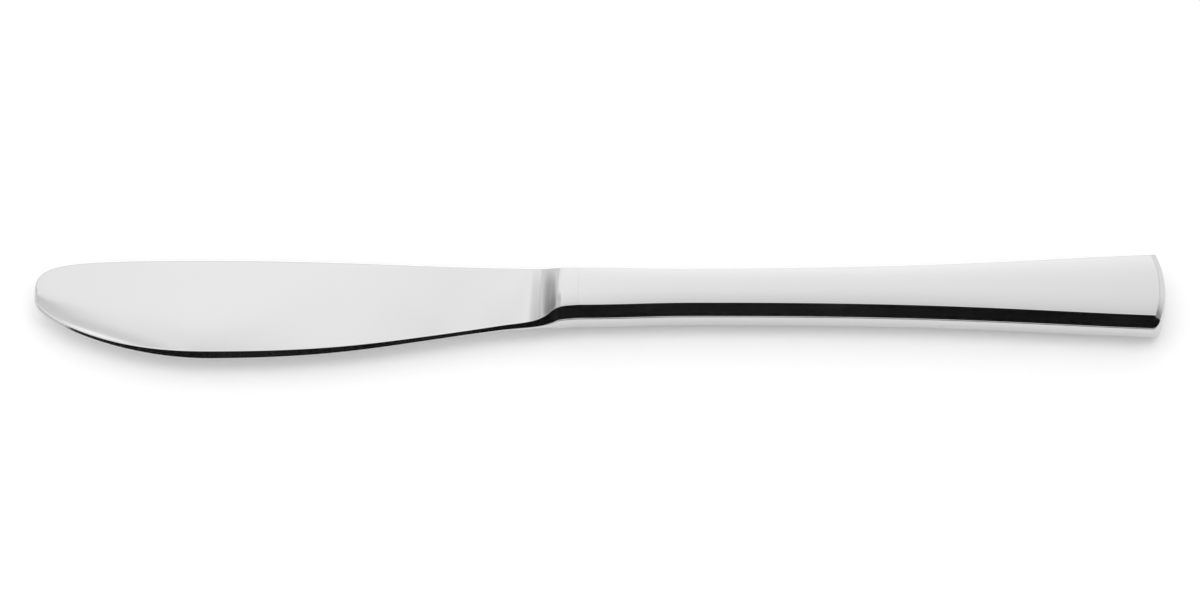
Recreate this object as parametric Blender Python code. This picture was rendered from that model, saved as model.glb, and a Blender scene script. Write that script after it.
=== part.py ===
"""Dessert knife with a hollow steel handle, lying on its side.

The blade, its bolster and its tang are one forging. The handle is two pressed half shells,
brazed to each other along a seam at mid thickness and to the back of the bolster. Cement
fills the handle and holds the tang.

Lengths are in metres. +X runs along the handle's axis from the tip to the butt, +Y from the
cutting edge to the spine, and +Z up from the table. The origin is on the table under the
handle's axis, halfway along the knife.
"""

import math

import bmesh
import bpy
from mathutils import Vector

MM = 0.001

# Lengths along the knife, from the tip to the butt
BLADE_LENGTH = 86.5 * MM
RAMP_LENGTH = 9.25 * MM
COLLAR_LENGTH = 4.25 * MM
HANDLE_LENGTH = 108.0 * MM

# Blade outline seen from above: distances from the tip and from the handle's axis
NOSE_OFFSET = 0.82 * MM
NOSE_FLAT = 1.94 * MM
CREST_FROM_TIP = 22.0 * MM
CREST_RISE = 7.7 * MM
BELLY_FROM_TIP = 32.8 * MM
BELLY_DROP = 12.98 * MM

# How far each stretch of the outline holds its direction at its two ends
SPINE_NOSE_REACH = 5.25 * MM
SPINE_CREST_REACH = 18.7 * MM
SPINE_FALL_REACH = 38.6 * MM
SPINE_NECK_REACH = 29.1 * MM
EDGE_NOSE_REACH = 4.56 * MM
EDGE_BELLY_REACH = 16.6 * MM
EDGE_RISE_REACH = 30.9 * MM
EDGE_NECK_REACH = 30.6 * MM
EDGE_NECK_SLOPE = 0.087

# Blade section
SPINE_THICKNESS = 2.9 * MM
TIP_THICKNESS = 1.2 * MM
TIP_TAPER_POWER = 5.0
EDGE_LAND = 0.16 * MM
NOSE_BEVEL = 0.32 * MM
BELLY_BEVEL = 0.84 * MM
HEEL_BEVEL = 0.44 * MM
BEVEL_GROWTH = 1.5
EDGE_BEVEL_SLOPE = math.tan(math.radians(52.0))
SPINE_CHAMFER = 0.3 * MM

# Bolster: how the far and near sides of its face and its near wall climb to the ramp's top.
# On the near side a share of the climb starts early and gently.
SPINE_CLIMB_LENGTH = 10.65 * MM
SPINE_CLIMB_POWER = 5.6
FACE_CLIMB_LENGTH = 10.75 * MM
FACE_CLIMB_POWER = 6.0
FACE_EARLY_SHARE = 0.3
WALL_CLIMB_LENGTH = 5.0 * MM
WALL_CLIMB_POWER = 4.0
WALL_EARLY_SHARE = 0.4
EARLY_CLIMB_LENGTH = 21.75 * MM
EARLY_CLIMB_POWER = 2.0

# The near side of the bolster stands out a little, most of all at the foot of the ramp
BULGE = 0.225 * MM
BULGE_LENGTH = 13.2 * MM
BULGE_PAST_TOP = 2.85 * MM

# Handle form
HANDLE_THICKNESS = 8.2 * MM
HANDLE_BEVEL_WIDTH = 1.55 * MM
HANDLE_BEVEL_DROP = 2.55 * MM
END_BEVEL_WIDTH = 1.1 * MM
END_BEVEL_DROP = 1.1 * MM
WALL_SWELL = 0.24
NECK_WIDTH = 11.12 * MM
WAIST_WIDTH = 10.4 * MM
WAIST_FROM_JOINT = 20.0 * MM
BUTT_WIDTH = 16.0 * MM
BUTT_STRAIGHT = 5.0 * MM
BUTT_FLARE = 0.05
BUTT_RADIUS = 21.0 * MM
BUTT_CORNER_RADIUS = 1.4 * MM
LEAST_CORNER_RADIUS = 0.2 * MM
NECK_REACH = 9.0 * MM
WAIST_FRONT_REACH = 7.0 * MM
WAIST_BACK_REACH = 45.0 * MM
BUTT_REACH = 22.0 * MM

# Joints and what is inside the handle
SHELL_WALL = 1.0 * MM
BRAZE_THICKNESS = 0.12 * MM
BRAZE_CLEARANCE = 0.04 * MM
SPIGOT_LENGTH = 5.0 * MM
SPIGOT_CLEARANCE = 0.15 * MM
TANG_LENGTH = 58.0 * MM
TANG_ROOT_WIDTH = 5.0 * MM
TANG_END_WIDTH = 3.8 * MM
TANG_ROOT_THICKNESS = 3.0 * MM
TANG_END_THICKNESS = 2.2 * MM
TANG_CHAMFER = 0.4 * MM
NOTCH_DEPTH = 0.8 * MM
NOTCH_LENGTH = 4.0 * MM
NOTCH_SLANT = 0.8 * MM
NOTCH_FROM_SPIGOT = (14.0 * MM, 34.0 * MM)
CEMENT_CLEARANCE = 0.2 * MM
CUTTER_REACH = 1.0 * MM

# How finely the curved stretches are cut
BLADE_STEPS = 36
RAMP_STEPS = 16
COLLAR_STEPS = 5
SIDE_STEPS = 14
CORNER_STEPS = 4
END_STEPS = 12
CREASE_ANGLE = math.radians(25.0)

# Places along the knife that follow from the lengths
TIP_X = -(BLADE_LENGTH + RAMP_LENGTH + COLLAR_LENGTH + HANDLE_LENGTH) / 2
HEEL_X = TIP_X + BLADE_LENGTH
RAMP_TOP_X = HEEL_X + RAMP_LENGTH
JOINT_X = RAMP_TOP_X + COLLAR_LENGTH
BUTT_X = JOINT_X + HANDLE_LENGTH - WALL_SWELL * (HANDLE_THICKNESS / 2 - HANDLE_BEVEL_DROP)
SHELL_X = JOINT_X + BRAZE_THICKNESS + 2 * BRAZE_CLEARANCE
SPIGOT_X = JOINT_X + SPIGOT_LENGTH
TANG_X = SPIGOT_X + TANG_LENGTH
MID_Z = HANDLE_THICKNESS / 2


def bezier(points, t):
    """The point at t, from 0 to 1, on the cubic curve with these four control points."""
    a, b, c, d = (Vector(point) for point in points)
    s = 1.0 - t
    return a * s**3 + b * (3 * s * s * t) + c * (3 * s * t * t) + d * t**3


def curve_at(curves, x):
    """The y of a chain of curves at x, where x only grows along the chain."""
    chosen = curves[-1]
    for points in curves:
        if x <= points[3][0]:
            chosen = points
            break
    low, high = 0.0, 1.0
    for _ in range(60):
        middle = (low + high) / 2
        if bezier(chosen, middle).x < x:
            low = middle
        else:
            high = middle
    return bezier(chosen, (low + high) / 2).y


def spine_curves():
    """The spine seen from above, from the tip over its crest to the joint with the handle."""
    nose = NOSE_OFFSET + NOSE_FLAT / 2
    crest_x = TIP_X + CREST_FROM_TIP
    neck = NECK_WIDTH / 2
    return [
        [
            (TIP_X, nose),
            (TIP_X, nose + SPINE_NOSE_REACH),
            (crest_x - SPINE_CREST_REACH, CREST_RISE),
            (crest_x, CREST_RISE),
        ],
        [
            (crest_x, CREST_RISE),
            (crest_x + SPINE_FALL_REACH, CREST_RISE),
            (JOINT_X - SPINE_NECK_REACH, neck),
            (JOINT_X, neck),
        ],
    ]


def edge_curves():
    """The cutting edge seen from above, from the tip over the belly to the joint."""
    nose = NOSE_OFFSET - NOSE_FLAT / 2
    belly_x = TIP_X + BELLY_FROM_TIP
    neck = -NECK_WIDTH / 2
    return [
        [
            (TIP_X, nose),
            (TIP_X, nose - EDGE_NOSE_REACH),
            (belly_x - EDGE_BELLY_REACH, -BELLY_DROP),
            (belly_x, -BELLY_DROP),
        ],
        [
            (belly_x, -BELLY_DROP),
            (belly_x + EDGE_RISE_REACH, -BELLY_DROP),
            (JOINT_X - EDGE_NECK_REACH, neck - EDGE_NECK_SLOPE * EDGE_NECK_REACH),
            (JOINT_X, neck),
        ],
    ]


def side_curves():
    """Half the handle's width along it: neck, waist, then the flare that ends straight."""
    waist_x = JOINT_X + WAIST_FROM_JOINT
    straight_x = BUTT_X - BUTT_STRAIGHT
    neck, waist, butt = NECK_WIDTH / 2, WAIST_WIDTH / 2, BUTT_WIDTH / 2
    return [
        [
            (JOINT_X, neck),
            (JOINT_X + NECK_REACH, neck),
            (waist_x - WAIST_FRONT_REACH, waist),
            (waist_x, waist),
        ],
        [
            (waist_x, waist),
            (waist_x + WAIST_BACK_REACH, waist),
            (straight_x - BUTT_REACH, butt - BUTT_FLARE * BUTT_REACH),
            (straight_x, butt),
        ],
    ]


def edge_y(x):
    """The y of the cutting edge at x, with the bulge on the near side of the bolster."""
    share = (x - RAMP_TOP_X - BULGE_PAST_TOP) / BULGE_LENGTH + 1.0
    bulge = math.sin(math.pi * min(max(share, 0.0), 1.0)) ** 2
    return curve_at(edge_curves(), x) - BULGE * bulge


def climbed(x, length, power):
    """The share of its rise that a line of the bolster has climbed at x, from 0 to 1."""
    share = (x - RAMP_TOP_X) / length + 1.0
    return min(max(share, 0.0), 1.0) ** power


def eased(start, end, share):
    """From start to end, level at both, as share goes from 0 to 1."""
    return start + (end - start) * share * share * (3 - 2 * share)


def edge_bevel(x):
    """Width of the ground bevel beside the cutting edge, widest at the belly."""
    belly_x = TIP_X + BELLY_FROM_TIP
    if x < belly_x:
        return eased(NOSE_BEVEL, BELLY_BEVEL, ((x - TIP_X) / BELLY_FROM_TIP) ** BEVEL_GROWTH)
    return eased(BELLY_BEVEL, HEEL_BEVEL, min((x - belly_x) / (HEEL_X - belly_x), 1.0))


def spine_half(x):
    """Half the blade's thickness at the spine, thinning towards the tip."""
    from_heel = max((HEEL_X - x) / BLADE_LENGTH, 0.0)
    return (SPINE_THICKNESS - (SPINE_THICKNESS - TIP_THICKNESS) * from_heel**TIP_TAPER_POWER) / 2


def handle_corner(offset):
    """The corners of the handle's section, all its faces moved in by offset.

    Gives the wall's inset and half height, then the face's inset and half height.
    """
    slant = math.hypot(HANDLE_BEVEL_WIDTH, HANDLE_BEVEL_DROP)
    across = HANDLE_BEVEL_DROP / slant
    up = HANDLE_BEVEL_WIDTH / slant
    wall_half = HANDLE_THICKNESS / 2 - HANDLE_BEVEL_DROP - offset * (1 - across) / up
    face_inset = HANDLE_BEVEL_WIDTH + offset * (1 - up) / across
    return offset, wall_half, face_inset, HANDLE_THICKNESS / 2 - offset


def ring(x, near, far, swell):
    """Ten corners of a section at x, going round it.

    Each side gives the y of its wall's crease, the wall's half height, the width of the
    slope beside it and the half thickness where that slope meets the face. The swell is how
    far the wall stands out at the seam, as a share of its half height.
    """
    near_y, near_wall, near_slope, near_face = near
    far_y, far_wall, far_slope, far_face = far
    above = [
        (near_y, near_wall),
        (near_y + near_slope, near_face),
        (far_y - far_slope, far_face),
        (far_y, far_wall),
    ]
    near_seam = Vector((x, near_y - swell * near_wall, MID_Z))
    far_seam = Vector((x, far_y + swell * far_wall, MID_Z))
    upper = [Vector((x, y, MID_Z + half)) for y, half in above]
    lower = [Vector((x, y, MID_Z - half)) for y, half in reversed(above)]
    return [near_seam, *upper, far_seam, *lower]


def even_ring(x, half_width, wall_half, slope, face_half, swell):
    """A section that is the same on both sides of the axis."""
    side = (wall_half, slope, face_half)
    return ring(x, (-half_width, *side), (half_width, *side), swell)


def handle_ring(x, offset, swell):
    """The handle's section at x, all its faces moved in by offset."""
    wall_inset, wall_half, face_inset, face_half = handle_corner(offset)
    half_width = curve_at(side_curves(), x) - wall_inset
    return even_ring(x, half_width, wall_half, face_inset - wall_inset, face_half, swell)


def edge_side(x):
    """The side of the forging with the cutting edge, whose bevel grows into the handle's."""
    _, full_wall, full_slope, full_face = handle_corner(0.0)
    land = EDGE_LAND / 2
    early = climbed(x, EARLY_CLIMB_LENGTH, EARLY_CLIMB_POWER)
    late = climbed(x, WALL_CLIMB_LENGTH, WALL_CLIMB_POWER)
    wall = land + (full_wall - land) * (late + (early - late) * WALL_EARLY_SHARE)
    late = climbed(x, FACE_CLIMB_LENGTH, FACE_CLIMB_POWER)
    growth = late + (early - late) * FACE_EARLY_SHARE
    ground = land + edge_bevel(x) * EDGE_BEVEL_SLOPE
    face = ground + (full_face - ground) * growth
    steep = EDGE_BEVEL_SLOPE + (HANDLE_BEVEL_DROP / full_slope - EDGE_BEVEL_SLOPE) * growth
    return edge_y(x), wall, (face - wall) / steep, face


def spine_side(x):
    """The side of the forging with the spine, which keeps its chamfer up to the bolster."""
    _, full_wall, full_slope, full_face = handle_corner(0.0)
    growth = climbed(x, SPINE_CLIMB_LENGTH, SPINE_CLIMB_POWER)
    thin = (spine_half(x) - SPINE_CHAMFER, SPINE_CHAMFER, spine_half(x))
    full = (full_wall, full_slope, full_face)
    heights = [a + (b - a) * growth for a, b in zip(thin, full)]
    return curve_at(spine_curves(), x), *heights


def forging_rings():
    """The blade, the hollow rise of the bolster and its level collar, from nose to joint."""
    places = []
    for step in range(BLADE_STEPS):
        places.append(TIP_X + BLADE_LENGTH * (1 - math.cos(math.pi / 2 * step / BLADE_STEPS)))
    for step in range(RAMP_STEPS):
        places.append(HEEL_X + RAMP_LENGTH * step / RAMP_STEPS)
    for step in range(COLLAR_STEPS + 1):
        places.append(RAMP_TOP_X + COLLAR_LENGTH * step / COLLAR_STEPS)
    return [ring(x, edge_side(x), spine_side(x), WALL_SWELL) for x in places]


def tang_ring(x, depth, clearance):
    """The tang's section at x, cut in by depth on both edges and grown by clearance."""
    share = (x - SPIGOT_X) / TANG_LENGTH
    width = TANG_ROOT_WIDTH + (TANG_END_WIDTH - TANG_ROOT_WIDTH) * share
    thickness = TANG_ROOT_THICKNESS + (TANG_END_THICKNESS - TANG_ROOT_THICKNESS) * share
    face_half = thickness / 2 + clearance
    half_width = width / 2 - depth + clearance
    return even_ring(x, half_width, face_half - TANG_CHAMFER, TANG_CHAMFER, face_half, 0.0)


def tang_rings(front_x, clearance):
    """The tapered tang with its keying notches, from front_x to its end."""
    rings = [tang_ring(front_x, 0.0, clearance)]
    for from_spigot in NOTCH_FROM_SPIGOT:
        start = SPIGOT_X + from_spigot + clearance
        end = SPIGOT_X + from_spigot + NOTCH_LENGTH - clearance
        rings.append(tang_ring(start, 0.0, clearance))
        rings.append(tang_ring(start + NOTCH_SLANT, NOTCH_DEPTH, clearance))
        rings.append(tang_ring(end - NOTCH_SLANT, NOTCH_DEPTH, clearance))
        rings.append(tang_ring(end, 0.0, clearance))
    rings.append(tang_ring(TANG_X + clearance, 0.0, clearance))
    return rings


def butt_points(inset):
    """Half the butt's outline, from the side's tangent point round the corner to the axis."""
    flare = math.hypot(1.0, BUTT_FLARE)
    along = Vector((1.0, BUTT_FLARE)) / flare
    inward = Vector((BUTT_FLARE, -1.0)) / flare
    corner = max(BUTT_CORNER_RADIUS - inset, LEAST_CORNER_RADIUS)
    radius = BUTT_RADIUS - inset
    centre = Vector((BUTT_X - BUTT_RADIUS, 0.0))
    side = Vector((BUTT_X - BUTT_STRAIGHT, BUTT_WIDTH / 2)) + inward * inset
    start = side + inward * corner - centre
    slide = start.dot(along)
    ahead = -slide + math.sqrt(slide**2 - start.length_squared + (radius - corner) ** 2)
    corner_centre = centre + start + along * ahead
    from_angle = math.atan2(-inward.y, -inward.x)
    reach = corner_centre - centre
    to_angle = math.atan2(reach.y, reach.x)
    points = []
    for step in range(CORNER_STEPS + 1):
        angle = from_angle + (to_angle - from_angle) * step / CORNER_STEPS
        points.append(corner_centre + corner * Vector((math.cos(angle), math.sin(angle))))
    for step in range(1, END_STEPS + 1):
        angle = to_angle * (1 - step / END_STEPS)
        points.append(centre + radius * Vector((math.cos(angle), math.sin(angle))))
    return points


def handle_outline(front_x, inset):
    """The handle seen from above, moved in by inset: one side, the butt, the other side.

    The front is an open straight end at front_x.
    """
    far = [Vector((front_x, curve_at(side_curves(), max(front_x, JOINT_X)) - inset))]
    for points in side_curves():
        for step in range(1, SIDE_STEPS + 1):
            place = bezier(points, step / SIDE_STEPS)
            if place.x > front_x:
                far.append(Vector((place.x, place.y - inset)))
    far += butt_points(inset)
    near = [Vector((point.x, -point.y)) for point in far[:-1]]
    return near + far[::-1]


def handle_level(front_x, inset, z):
    """The handle's outline as a ring at height z."""
    return [point.to_3d() + Vector((0.0, 0.0, z)) for point in handle_outline(front_x, inset)]


def seam_inset(height):
    """How far the swollen wall stands out, as a negative inset, this far from the seam."""
    return -WALL_SWELL * (handle_corner(0.0)[1] - height)


def shell_ring(side, end, way):
    """One ring of a shell's outside, whose inset and height change at the butt's corners.

    Side and end each give an inset and a distance from the seam. Way is 1 above the seam
    and -1 below it.
    """
    along = handle_outline(SHELL_X, side[0])
    round_end = handle_outline(SHELL_X, end[0])
    straight = len(along) // 2 - CORNER_STEPS - END_STEPS
    points = []
    for index, (a, b) in enumerate(zip(along, round_end)):
        from_front = min(index, len(along) - 1 - index)
        share = min(max((from_front - straight) / CORNER_STEPS, 0.0), 1.0)
        place = a.lerp(b, share)
        height = side[1] + (end[1] - side[1]) * share
        points.append(Vector((place.x, place.y, MID_Z + way * height)))
    return points


def handle_levels(front_x, offset):
    """The whole handle form as rings from its lower face to its upper face."""
    wall_inset, wall_half, face_inset, face_half = handle_corner(offset)
    return [
        handle_level(front_x, face_inset, MID_Z - face_half),
        handle_level(front_x, wall_inset, MID_Z - wall_half),
        handle_level(front_x, wall_inset, MID_Z + wall_half),
        handle_level(front_x, face_inset, MID_Z + face_half),
    ]


def solid_from_rings(name, rings, parent):
    """A closed body with these rings as its skin and a face over each end."""
    shape = bmesh.new()
    loops = [[shape.verts.new(point) for point in points] for points in rings]
    for first, second in zip(loops, loops[1:]):
        for index in range(len(first)):
            after = (index + 1) % len(first)
            shape.faces.new((first[index], first[after], second[after], second[index]))
    shape.faces.new(loops[0])
    shape.faces.new(loops[-1])
    return finished(name, shape, parent)


def solid_from_strip(name, outer, inner, thickness, closed, parent):
    """A flat strip between two lines of points, thickened along the given vector."""
    shape = bmesh.new()
    outside = [shape.verts.new(point) for point in outer]
    inside = [shape.verts.new(point) for point in inner]
    count = len(outside)
    for index in range(count if closed else count - 1):
        after = (index + 1) % count
        shape.faces.new((outside[index], outside[after], inside[after], inside[index]))
    moved = bmesh.ops.extrude_face_region(shape, geom=shape.faces[:])["geom"]
    corners = [item for item in moved if isinstance(item, bmesh.types.BMVert)]
    bmesh.ops.translate(shape, verts=corners, vec=thickness)
    return finished(name, shape, parent)


def finished(name, shape, parent):
    """The named object for a shape, with its faces turned outwards."""
    bmesh.ops.recalc_face_normals(shape, faces=shape.faces[:])
    mesh = bpy.data.meshes.new(name)
    shape.to_mesh(mesh)
    shape.free()
    mesh.shade_smooth()
    mesh.set_sharp_from_angle(angle=CREASE_ANGLE)
    made = bpy.data.objects.new(name, mesh)
    made.parent = parent
    bpy.context.scene.collection.objects.link(made)
    return made


def as_cutter(made):
    """Marks an object as a cutter that is no piece of the knife."""
    made.hide_render = True
    made.display_type = "WIRE"
    return made


def cut(made, cutter):
    """Takes the cutter's volume out of an object."""
    boolean = made.modifiers.new(f"cut_{cutter.name}", "BOOLEAN")
    boolean.operation = "DIFFERENCE"
    boolean.solver = "EXACT"
    boolean.object = cutter


def paint(made, name, colour, metallic, roughness):
    """Gives an object its own surface."""
    material = bpy.data.materials.new(name)
    material.use_nodes = True
    shader = material.node_tree.nodes["Principled BSDF"]
    shader.inputs["Base Color"].default_value = (*colour, 1.0)
    shader.inputs["Metallic"].default_value = metallic
    shader.inputs["Roughness"].default_value = roughness
    made.data.materials.append(material)


def build_blade(parent):
    """The forging: blade, bolster, the spigot inside the handle's mouth, and the tang."""
    spigot_offset = SHELL_WALL + SPIGOT_CLEARANCE
    spigot = [handle_ring(x, spigot_offset, 0.0) for x in (JOINT_X, SPIGOT_X)]
    rings = forging_rings() + spigot + tang_rings(SPIGOT_X, 0.0)
    blade = solid_from_rings("blade", rings, parent)
    paint(blade, "forged_blade_steel", (0.62, 0.62, 0.63), 1.0, 0.12)


def build_shells(parent):
    """The two pressed half shells, each the handle's form above or below the seam."""
    cavity_front = SHELL_X - CUTTER_REACH
    cavity_levels = handle_levels(cavity_front, SHELL_WALL)
    cavity = as_cutter(solid_from_rings("handle_cavity", cavity_levels, parent))
    rim = BRAZE_THICKNESS / 2 + BRAZE_CLEARANCE
    _, side_wall, face_inset, top = handle_corner(0.0)
    end_wall = top - END_BEVEL_DROP
    corners = [
        ((seam_inset(rim), rim), (seam_inset(rim), rim)),
        ((0.0, side_wall), (0.0, end_wall)),
        ((face_inset, top), (END_BEVEL_WIDTH, top)),
    ]
    for name, way in (("upper_handle_shell", 1), ("lower_handle_shell", -1)):
        rings = [shell_ring(side, end, way) for side, end in corners]
        shell = solid_from_rings(name, rings, parent)
        cut(shell, cavity)
        paint(shell, f"{name}_steel", (0.64, 0.64, 0.64), 1.0, 0.12)


def build_braze(parent):
    """The thin braze between the shells' rims, and between their mouth and the bolster."""
    bottom = MID_Z - BRAZE_THICKNESS / 2
    outer = handle_level(SHELL_X, seam_inset(BRAZE_THICKNESS / 2), bottom)
    inner = handle_level(SHELL_X, SHELL_WALL, bottom)
    lift = Vector((0.0, 0.0, BRAZE_THICKNESS))
    seam = solid_from_strip("seam_braze", outer, inner, lift, False, parent)
    paint(seam, "seam_braze_silver", (0.62, 0.6, 0.55), 1.0, 0.25)
    front = JOINT_X + BRAZE_CLEARANCE
    push = Vector((BRAZE_THICKNESS, 0.0, 0.0))
    mouth = (handle_ring(front, 0.0, WALL_SWELL), handle_ring(front, SHELL_WALL, 0.0))
    joint = solid_from_strip("bolster_braze", *mouth, push, True, parent)
    paint(joint, "bolster_braze_silver", (0.62, 0.6, 0.55), 1.0, 0.25)


def build_cement(parent):
    """The cement that fills the shells behind the spigot and grips the tang."""
    front = SPIGOT_X + CEMENT_CLEARANCE
    levels = handle_levels(front, SHELL_WALL + CEMENT_CLEARANCE)
    cement = solid_from_rings("handle_cement", levels, parent)
    channel_rings = tang_rings(front - CUTTER_REACH, CEMENT_CLEARANCE)
    cut(cement, as_cutter(solid_from_rings("tang_channel", channel_rings, parent)))
    paint(cement, "handle_filling_cement", (0.45, 0.43, 0.4), 0.0, 0.9)


def build():
    """Clears the scene and makes the knife's pieces under one empty."""
    for left_over in list(bpy.data.objects):
        bpy.data.objects.remove(left_over)
    knife = bpy.data.objects.new("dessert_knife", None)
    bpy.context.scene.collection.objects.link(knife)
    build_blade(knife)
    build_shells(knife)
    build_braze(knife)
    build_cement(knife)


build()
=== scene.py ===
"""A polished steel dessert knife with a hollow handle, laid on a white table under soft boxes.

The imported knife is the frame. The blade forging, both handle shells and the braze are rebuilt
here on the same sizes, finely enough for a mirror polish, and the cement inside is dressed.
Lengths are in metres: +X runs from the tip to the butt, +Y from the cutting edge to the spine,
and +Z up from the table.
"""

import logging
import math
from dataclasses import dataclass, field
from enum import Enum
from typing import Callable, NamedTuple

import bmesh
import bpy
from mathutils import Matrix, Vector


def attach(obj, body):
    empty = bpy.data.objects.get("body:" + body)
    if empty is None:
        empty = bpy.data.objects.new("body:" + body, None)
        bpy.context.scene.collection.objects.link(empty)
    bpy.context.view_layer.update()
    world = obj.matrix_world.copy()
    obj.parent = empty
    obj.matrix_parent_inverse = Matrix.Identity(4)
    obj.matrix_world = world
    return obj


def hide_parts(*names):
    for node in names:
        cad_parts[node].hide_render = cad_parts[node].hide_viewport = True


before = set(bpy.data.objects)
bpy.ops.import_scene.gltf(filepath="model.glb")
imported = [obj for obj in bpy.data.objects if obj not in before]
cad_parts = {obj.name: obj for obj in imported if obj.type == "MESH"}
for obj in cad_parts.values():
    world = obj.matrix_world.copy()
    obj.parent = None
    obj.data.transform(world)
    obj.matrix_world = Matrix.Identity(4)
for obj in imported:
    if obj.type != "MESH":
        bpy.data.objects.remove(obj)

LOG = logging.getLogger("dessert_knife")
MM = 0.001
CREASE_ANGLE = math.radians(32.0)
FACE_LEAD = 0.25 * MM
MERGE_DISTANCE = 1e-7
SLIVER_LENGTH = 1e-8
HALVINGS = 50
# Most of a noise pattern lies between these two values.
NOISE_SPREAD = {"From Min": 0.3, "From Max": 0.7}
Curve = list[tuple[float, float]]
Profile = list[tuple[float, float]]
Faces = list[tuple[int, ...]]
Fade = list[tuple[float, float]]
Inputs = dict[str | int, object]


class Half(Enum):
    """Which half of the handle a shell is."""

    UPPER = "upper"
    LOWER = "lower"


class PolishRun(Enum):
    """Which way the polishing marks run on a piece of steel."""

    ALONG = "along the knife"
    ACROSS = "across the knife"


def linear(colour: str) -> tuple[float, float, float, float]:
    """Turns an sRGB hex colour into the linear one that shaders take.

    Args:
        colour: Six hex digits after a hash sign.

    Returns:
        Red, green, blue and full alpha.
    """
    channels = []
    for start in (1, 3, 5):
        value = int(colour[start : start + 2], 16) / 255
        channels.append(value / 12.92 if value <= 0.04045 else ((value + 0.055) / 1.055) ** 2.4)
    return (*channels, 1.0)


def feed(node: bpy.types.Node, inputs: Inputs) -> None:
    """Gives a node's inputs what they take.

    Args:
        node: The node.
        inputs: What each input gets: another node's output, or a fixed value.
    """
    for name, value in inputs.items():
        if isinstance(value, bpy.types.NodeSocket):
            node.id_data.links.new(value, node.inputs[name])
        else:
            node.inputs[name].default_value = value


def add_node(
    tree: bpy.types.NodeTree, kind: str, inputs: Inputs | None = None, **settings: object
) -> bpy.types.bpy_prop_collection:
    """Adds a node, sets it up and links what it takes.

    Args:
        tree: The tree that the node goes into.
        kind: The node's type name.
        inputs: What each input gets.
        settings: Values for the node's own settings.

    Returns:
        The new node's outputs.
    """
    node = tree.nodes.new(kind)
    for name, value in settings.items():
        setattr(node, name, value)
    feed(node, inputs or {})
    return node.outputs


def new_material(name: str) -> tuple[bpy.types.Material, bpy.types.NodeTree]:
    """Starts a material.

    Args:
        name: The material's name.

    Returns:
        The material and its node tree.
    """
    made = bpy.data.materials.new(name)
    made.use_nodes = True
    return made, made.node_tree


def clamped(share: float) -> float:
    """Keeps a share between 0 and 1."""
    return min(max(share, 0.0), 1.0)


def eased(start: float, end: float, share: float) -> float:
    """Goes from start to end, level at both, as share goes from 0 to 1."""
    return start + (end - start) * share * share * (3 - 2 * share)


def bezier(points: Curve, t: float) -> Vector:
    """Finds a point on a cubic curve.

    Args:
        points: The curve's four control points.
        t: How far along the curve, from 0 to 1.

    Returns:
        The point.
    """
    a, b, c, d = (Vector(point) for point in points)
    s = 1.0 - t
    return a * s**3 + b * (3 * s * s * t) + c * (3 * s * t * t) + d * t**3


def curve_at(curves: list[Curve], x: float) -> float:
    """Finds the y of a chain of curves at x, where x only grows along the chain.

    Args:
        curves: Cubic curves, each starting where the last one ends.
        x: The place along the knife.

    Returns:
        The y there.
    """
    chosen = next((points for points in curves if x <= points[3][0]), curves[-1])
    low, high = 0.0, 1.0
    for _ in range(HALVINGS):
        middle = (low + high) / 2
        if bezier(chosen, middle).x < x:
            low = middle
        else:
            high = middle
    return bezier(chosen, (low + high) / 2).y


def softened(points: Profile, reaches: tuple[float, ...], steps: int) -> Profile:
    """Rounds the inner corners of a profile and keeps the flats beside them flat.

    Args:
        points: The profile's corners, open at both ends.
        reaches: How far from each inner corner its rounding starts.
        steps: Number of facets in each rounding.

    Returns:
        The rounded profile, with a narrow facet at each end of every flat.
    """
    most_of_flat, facet_end = 0.3, 1.4
    rounded: list[Vector] = [Vector(points[0])]
    for before, corner, after, reach in zip(points, points[1:], points[2:], reaches):
        middle = Vector(corner)
        back, ahead = Vector(before) - middle, Vector(after) - middle
        cut = min(reach, most_of_flat * back.length, most_of_flat * ahead.length)
        back, ahead = back.normalized() * cut, ahead.normalized() * cut
        rounded.append(middle + back * facet_end)
        for step in range(steps + 1):
            t = step / steps
            rounded.append(middle + back * (1 - t) ** 2 + ahead * t * t)
        rounded.append(middle + ahead * facet_end)
    rounded.append(Vector(points[-1]))
    return [(point.x, point.y) for point in rounded]


def side_profile(
    rim: float, wall: float, slope: float, face: float, swell: float, soft: tuple[float, float]
) -> Profile:
    """Traces one side of a section from the seam over its convex wall and its slope.

    Args:
        rim: Height where the line starts.
        wall: Height of the wall's upper crease.
        slope: Width of the slope above it, seen from above.
        face: Height where the slope meets the face.
        swell: How far the wall stands out at the seam.
        soft: How far from the wall's and the face's crease their rounding starts.

    Returns:
        Insets from the wall's crease, negative where the wall swells, and heights.
    """
    facets, wall_steps = 5, 8
    corners = [(0.0, rim), (0.0, wall), (slope, face), (slope + FACE_LEAD, face)]
    points = softened(corners, soft, facets)
    top = points[1][1]
    upright = [(0.0, rim + (top - rim) * step / wall_steps) for step in range(wall_steps)]
    profile = []
    for inset, height in upright + points[1:]:
        share = min(height / wall, 1.0)
        profile.append((inset - swell * (1 - share * share), height))
    return profile


def joined_rings(rings: list[list[Vector]]) -> tuple[list[Vector], Faces]:
    """Joins closed rings of points, each to the next, with four-sided faces.

    Args:
        rings: The rings, with the same number of points in each.

    Returns:
        Every point, ring by ring, and the corners of every face.
    """
    count = len(rings[0])
    faces: Faces = []
    for row in range(len(rings) - 1):
        a, b = row * count, (row + 1) * count
        for index in range(count):
            after = (index + 1) % count
            faces.append((a + index, a + after, b + after, b + index))
    return [point for ring in rings for point in ring], faces


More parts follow.
